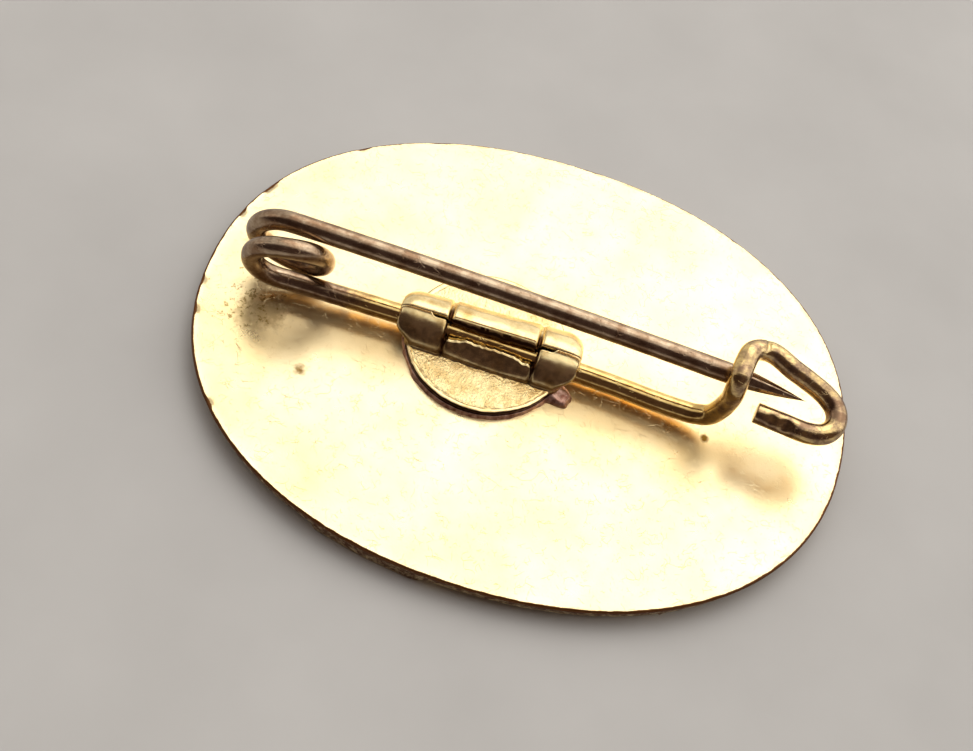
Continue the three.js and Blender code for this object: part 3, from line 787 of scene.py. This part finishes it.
mark(catch, "bronzed", 0.75 * (1 - ramp(x_along, -11.5, -6.5)) + 0.42 * ramp(x_along, 8.4, 9.8))
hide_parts("catch_wire")
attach(catch, "badge")
print("catch:", len(catch_path), "sections")

# %% [markdown]
# ** Coil and pin arm.** The coil makes a turn and a half. To open the pin its arm twists the last part of the coil,
# so the pin arm's piece here starts a quarter turn before the top of the coil, and the two ends of that quarter are
# worked out. The arm is straight, then ground to a long point that isn't quite even.

# %% Coil
coil_centre_z = WIRE_LIFT + COIL_RADIUS
LAST_QUARTER = 2.5 / 3


def through(values, share):
    """A smooth line through evenly spaced values, read at a share of its length."""
    values = np.asarray(values, float)
    padded = np.concatenate([values[:1], values, values[-1:]])
    place = np.clip(share, 0, 1) * (len(values) - 1)
    i = np.minimum(place.astype(int), len(values) - 2)
    t = place - i
    a, b, c, d = (padded[i + k] for k in range(4))
    bend = (2 * b - 2 * c + (c - a) / 2 + (d - b) / 2) * t**3
    return bend + (3 * c - 3 * b - (c - a) - (d - b) / 2) * t**2 + (c - a) / 2 * t + b


def coil_points(shares):
    """Places along the coil, from 0 under the arm to 1 at its top."""
    angle = shares * 3 * math.pi
    lean = np.exp(-(((shares - LAST_QUARTER) / 0.1) ** 2))
    x = COIL_CENTRE_X - COIL_RADIUS * np.sin(angle) - 0.28 * lean
    y = through(COIL_PLACES, shares) - 0.15 * lean
    return np.stack([x, y, coil_centre_z - COIL_RADIUS * np.cos(angle)], -1)


coil_path = on_back(coil_points(np.linspace(-0.012, LAST_QUARTER + 0.004, 220)))
points, outward, faces = wire_piece(coil_path, np.full(len(coil_path), WIRE_RADIUS - 0.001))
points = uneven(points, outward, (0.005, 0.4, 13), (0.006, 1.2, 14))
coil = make_piece("spring_coil_turns", points, faces, wire)
mark(coil, "bronzed", np.full(len(points), 0.85))
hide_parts("spring_coil")
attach(coil, "badge")

# %% Pin arm
PIN_TIP = np.array([14.95, -0.13, 3.45])
PIN_TAPER = 3.4
PIN_BOW = 0.16
FLATS = 7
coil_top = np.array([COIL_CENTRE_X, COIL_PLACES[-1], coil_centre_z + COIL_RADIUS])
quarter = coil_points(np.linspace(LAST_QUARTER, 1, 40))[:-2]
run = np.linspace(0.012, 1, 120)
straight = coil_top + (PIN_TIP - coil_top) * run[:, None]
straight[:, 1] += 4 * PIN_BOW * run * (1 - run)
pin_path = even(on_back(np.concatenate([quarter, straight])), 0.07)
run_left = np.linalg.norm(np.diff(pin_path, axis=0), axis=1)[::-1].cumsum()[::-1]
run_left = np.concatenate([run_left, [0]])
share = np.clip(1 - run_left / PIN_TAPER, 0, 1)
pin_radii = np.where(share > 0, WIRE_RADIUS * (1 - share**1.45), WIRE_RADIUS)
pin_radii = np.maximum(pin_radii, 0.015)
points, outward, faces = wire_piece(pin_path, pin_radii, 0.01)
points = uneven(points, outward, (0.004, 0.5, 15), (0.007, 2.0, 16))

# Grinding leaves a few flats along the point: the section there is pressed towards a rough polygon.
tip_at = on_back(PIN_TIP)
taper_at = tip_at[0] - PIN_TAPER
near_tip = ramp(points[:, 0], taper_at - 0.2, taper_at + 0.8) * (points[:, 0] < tip_at[0] + 0.1)
centre_line = np.array([np.interp(points[:, 0], pin_path[40:, 0], pin_path[40:, k]) for k in range(3)]).T
offset = points - centre_line
around = np.arctan2(offset[:, 2], offset[:, 1])
half_flat = math.pi / FLATS
facet = np.cos((around % (2 * math.pi / FLATS)) - half_flat)
squeeze = 1 - near_tip * (1 - math.cos(half_flat) / facet) * 0.85
points = np.where(near_tip[:, None] > 0, centre_line + offset * squeeze[:, None], points)
pin = make_piece("pin_shank", points, faces, wire)
mark(pin, "bronzed", np.ones(len(points)))
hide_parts("pin_arm")
bend_start, bend_end = on_back([coil_points(np.array([LAST_QUARTER]))[0], coil_top + (2.2, 0, 0)]) * MM
bend_end[1:] = bend_start[1:]
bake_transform(pin)
print("pin arm:", len(pin_path), "sections")

# %% [markdown]
# ## The patch
# A disc of sheet brass is pressed with a tunnel across it. The two ends of the tunnel stay whole and close down on
# the wire like hoods. Between them the near side is torn open in a slot, with a crimp at each end of it that grips
# the wire. The disc is a turned section, sunk under the tunnel. The tunnel is built as two half shells, near and
# far, each from its foot on the disc up to where it stops: near the crest under the hoods, and lower beside the
# slot.

# %% Disc
DISC_RADIUS = 4.0
DISC_TOP = 0.45
DISC_BOTTOM = 0.08
STEPS = 360
turn = np.arange(STEPS) / STEPS * 2 * math.pi


def turned_piece(section, shape_ring):
    """Rings about the patch's centre for each (radius, height) of a section, reshaped by a function."""
    made = []
    for radius, height in section:
        ring = np.stack([radius * np.cos(turn), radius * np.sin(turn), np.full(STEPS, height)], -1)
        made.append(shape_ring(ring, radius, height))
    return made


def pebbled(ring, radius, height):
    """The struck top of the disc: pebbles, and a rolled edge."""
    if height > 0.3 and radius < DISC_RADIUS - 0.05:
        ring[:, 2] += 0.012 * smooth_noise(ring, 0.28, 21) + 0.012 * smooth_noise(ring, 0.75, 22)
    sunk = 1 - ramp(np.abs(ring[:, 1] - 0.05), 1.15, 1.25)
    ring[:, 2] += (DISC_BOTTOM + 0.02 - ring[:, 2]) * sunk * (height > DISC_BOTTOM + 0.03)
    if radius > DISC_RADIUS - 0.3:
        push = 0.025 * smooth_noise(ring * (1, 1, 0.2), 0.6, 23) + 0.01 * smooth_noise(ring, 0.18, 24)
        ring[:, :2] *= (1 + (push - 0.02) / DISC_RADIUS)[:, None]
    return ring


disc_section = [(r, DISC_TOP) for r in np.linspace(0.05, 3.55, 46)]
disc_section += [(3.62, 0.447), (3.70, 0.452), (3.78, 0.468), (3.85, 0.475), (3.92, 0.463)]  # the raised rim
disc_section += [(3.97, 0.43), (3.995, 0.38), (3.97, 0.32), (3.95, 0.25), (3.96, 0.18), (3.98, 0.12)]  # the wall
disc_section += [(radius, DISC_BOTTOM) for radius in (3.97, 3.6, 0.05)]
disc_rings = turned_piece(disc_section, pebbled)
disc_points, disc_faces = capped_rings(disc_rings, [0, 0, DISC_TOP], [0, 0, DISC_BOTTOM])


def disc_shade_and_band(radius, height):
    """How dark the disc is painted at a place in its section: painted shade on its wall, and a darker band inside
    the rim.
    """
    wall = ramp(radius, 3.9, 3.97) * (height < 0.44)
    band = ramp(radius, 3.4, 3.7) * (1 - ramp(radius, 3.7, 3.8))
    return 0.9 * wall + 0.3 * band


disc_shade_and_band_share = np.concatenate([*(np.full(STEPS, disc_shade_and_band(*place)) for place in disc_section), [0, 0]])
disc_pebbled = np.concatenate([*(np.full(STEPS, 1.0 * (r < 3.7 and z > 0.4)) for r, z in disc_section), [1, 1]])

# %% Tunnel
TUNNEL_START, TUNNEL_END = -4.42, 4.55
TUNNEL_SHEET = 0.28
TUNNEL_POWER = 1.7
SLOT_START, SLOT_END = -2.0, 2.42
ARCH_STEPS = 26
ARCH_BASE = 0.43


def arch(share, half_width, height):
    """A point on a slightly pointed arch. The share runs from the near foot, 0, to the far foot, 1."""
    angle = math.pi * share
    across = -math.copysign(abs(math.cos(angle)) ** (2 / TUNNEL_POWER), math.cos(angle))
    return across * half_width, ARCH_BASE + height * abs(math.sin(angle)) ** (2 / TUNNEL_POWER)


def tunnel_size(x):
    """Half width, height and middle of the tunnel's outside, and how much of it is within a crimp."""
    to_end = min(x - TUNNEL_START, TUNNEL_END - x)
    closing = math.sqrt(max(0.0, 1 - (1 - min(to_end / 0.9, 1)) ** 2))
    full = 1.56 + 0.055 * (x - TUNNEL_START) / 2
    half_width = 1.0 + (full - 1.0) * closing
    crimp = math.exp(-(((x - SLOT_START) / 0.12) ** 2)) + math.exp(-(((x - SLOT_END) / 0.12) ** 2))
    height = 1.05 + 0.27 * closing - 0.22 * crimp
    half_width -= 0.08 * crimp
    return half_width, height, 0.05 - 0.1 * (1 - closing), crimp


def half_shell(near, seed):
    """One side of the tunnel as closed loops of points, one for each station along the wire, and the painted shade
    of each point.
    """
    finer = [np.linspace(edge - 0.35, edge + 0.35, 29) for edge in (SLOT_START, SLOT_END)]
    ends = [np.linspace(TUNNEL_START, TUNNEL_START + 0.5, 14), np.linspace(TUNNEL_END - 0.5, TUNNEL_END, 14)]
    stations = np.unique(np.concatenate([np.linspace(TUNNEL_START, TUNNEL_END, 130), *finer, *ends]).round(4))
    sections, shade_and_bare_brass = [], []
    for x in stations:
        half_width, height, middle, crimp = tunnel_size(x)
        in_slot = ramp(x, SLOT_START - 0.04, SLOT_START + 0.04) * (1 - ramp(x, SLOT_END - 0.04, SLOT_END + 0.04))
        middle_share = math.sin(math.pi * np.clip((x - SLOT_START) / (SLOT_END - SLOT_START), 0, 1))
        waver = smooth_noise(np.array([[x, seed * 2.0, 0.0]]), 0.55, seed)[0]
        tear = smooth_noise(np.array([[x, seed * 3.0, 1.0]]), 0.14, seed + 1)[0]
        from_slot = max(SLOT_START - x, x - SLOT_END, 0.0)
        closed = float(ramp(from_slot, 0.7, 1.15))
        if near:
            hood_stop = 0.41 + 0.1 * closed
            stop = hood_stop + (0.215 + 0.035 * middle_share + 0.012 * waver + 0.008 * tear - hood_stop) * in_slot
        else:
            stop = 0.455 + (0.405 + 0.012 * waver + 0.006 * tear - 0.455) * in_slot
        shares = np.linspace(0 if near else 1, stop, ARCH_STEPS)
        thickness = TUNNEL_SHEET * (1 - 0.25 * crimp)
        tuck = [0.015 * float(ramp(s, 0.44, 0.46)) * near for s in shares]
        outer = [arch(s, half_width - t, height - t) for s, t in zip(shares, tuck)]
        inner = [arch(s, half_width - thickness, height - thickness) for s in shares[::-1]]
        foot = -1 if near else 1
        outer[0] = (foot * (half_width + 0.12), 0.41)
        outer[1] = (outer[1][0] + foot * 0.03, outer[1][1])
        if near and in_slot:
            inner[0] = (inner[0][0] + 0.06 * in_slot, inner[0][1] + 0.14 * in_slot)
        loop = np.array(outer + inner)
        section = np.stack([np.full(len(loop), x), loop[:, 0] + middle, loop[:, 1]], -1)
        if near:
            # The lip is pushed in towards the wire between the crimps.
            section[:, 1] += 0.12 * in_slot * middle_share * ramp(section[:, 2], 0.5, 1.2)
        else:
            # The torn edge of the roof curls down.
            section[:, 2] -= 0.12 * in_slot * ramp(-section[:, 1], 0.05, 0.35)
        low = 1 - ramp(section[:, 2], 0.45, 1.1)
        section[:, 0] += (0.55 * low * ramp(abs(x), 3.0, 4.5)) * (-1 if x > 0 else 1)
        bulge = 0.014 * smooth_noise(section, 0.8, 33) + 0.006 * smooth_noise(section, 0.25, 34)
        section[:, 1] += bulge
        section[:, 2] += bulge
        sections.append(section)
        # Painted shade: the crimps and the pinch beside them, the low part of the near wall, the roof's curled torn
        # edge and the whole inside of the shell are darkened in colour where shade falls; the cut ends are darker
        # too.
        to_end = min(x - TUNNEL_START, TUNNEL_END - x)
        dark = np.full(len(loop), 0.3 * crimp + 0.35 * float(1 - ramp(to_end, 0.0, 0.06)))
        pinched = ramp(loop[:, 0], -1.5, -1.1) * (1 - ramp(loop[:, 0], 0.1, 0.8))
        dark += 0.7 * min(crimp, 1.0) * pinched
        if near:
            dark[:ARCH_STEPS] += 0.4 * (1 - ramp(shares, 0.2, 0.38))
        else:
            dark[:ARCH_STEPS] += 0.9 * (shares < 0.447)
        dark[ARCH_STEPS + 2 :] = 0.8
        shade_and_bare_brass.append(dark)
    return sections, shade_and_bare_brass


patch_points, patch_faces, patch_painted_shade = [on_back(disc_points)], list(disc_faces), [disc_shade_and_band_share]
patch_pebbled = [disc_pebbled]
first = len(disc_points)
for near, seed in ((True, 31), (False, 41)):
    sections, shade_and_bare_brass = half_shell(near, seed)
    size = len(sections[0])
    last = first + (len(sections) - 1) * size
    faces = grid_faces(len(sections), size, first)
    faces += [tuple(range(first, first + size))[::-1], tuple(range(last, last + size))]
    if near:
        faces = [face[::-1] for face in faces]
    patch_faces += faces
    patch_points.append(on_back(np.concatenate(sections)))
    patch_painted_shade.append(np.concatenate(shade_and_bare_brass))
    patch_pebbled.append(np.zeros(len(sections) * size))
    first += len(sections) * size
patch = make_piece("pressed_patch", np.concatenate(patch_points), patch_faces, sheet)
mark(patch, "wear_and_painted_shade", np.concatenate(patch_painted_shade))
mark(patch, "pebbled", np.concatenate(patch_pebbled))
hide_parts("patch_plate")
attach(patch, "badge")
print("patch:", len(patch.data.vertices), "points")

# %% [markdown]
# ## The solder
# Solder was melted under the patch and drew itself into the corner all round, more in some places than in others,
# with one rough blob where too much ran out.

# %% Solder
BLOB_ANGLE = math.radians(-21) % (2 * math.pi)


def flowed(ring, radius, height):
    """A tight uneven fillet with a rough blob on one side."""
    if radius > 3.9:
        swell = np.exp(-(((turn - BLOB_ANGLE) / 0.13) ** 4)) * (1 + 0.25 * smooth_noise(ring, 0.35, 53))
        reach = 0.55 + 0.4 * smooth_noise(ring, 0.9, 51) + 0.2 * smooth_noise(ring, 0.3, 52)
        out = np.maximum((radius - 3.98) * reach, 0.005) + 0.95 * swell * max(radius - 3.98, 0) / 0.18
        ring[:, :2] *= ((3.98 + out) / radius)[:, None]
        if height > 0:
            ring[:, 2] += (0.2 * swell + 0.05 * smooth_noise(ring, 0.2, 54) * swell) * (height > 0.01)
    return ring


solder_section = [(0.05, 0.07), (3.9, 0.07), (3.985, 0.2), (4.02, 0.15), (4.06, 0.1), (4.1, 0.06)]
solder_section += [(4.13, 0.03), (4.16, 0.0), (4.15, -0.02), (3.9, -0.02), (0.05, -0.02)]
solder_rings = turned_piece(solder_section, flowed)
solder_points, solder_faces = capped_rings(solder_rings, [0, 0, 0.07], [0, 0, -0.02])
solder_piece = make_piece("solder_fillet", on_back(solder_points), solder_faces, solder)
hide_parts("solder_joint")
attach(solder_piece, "badge")
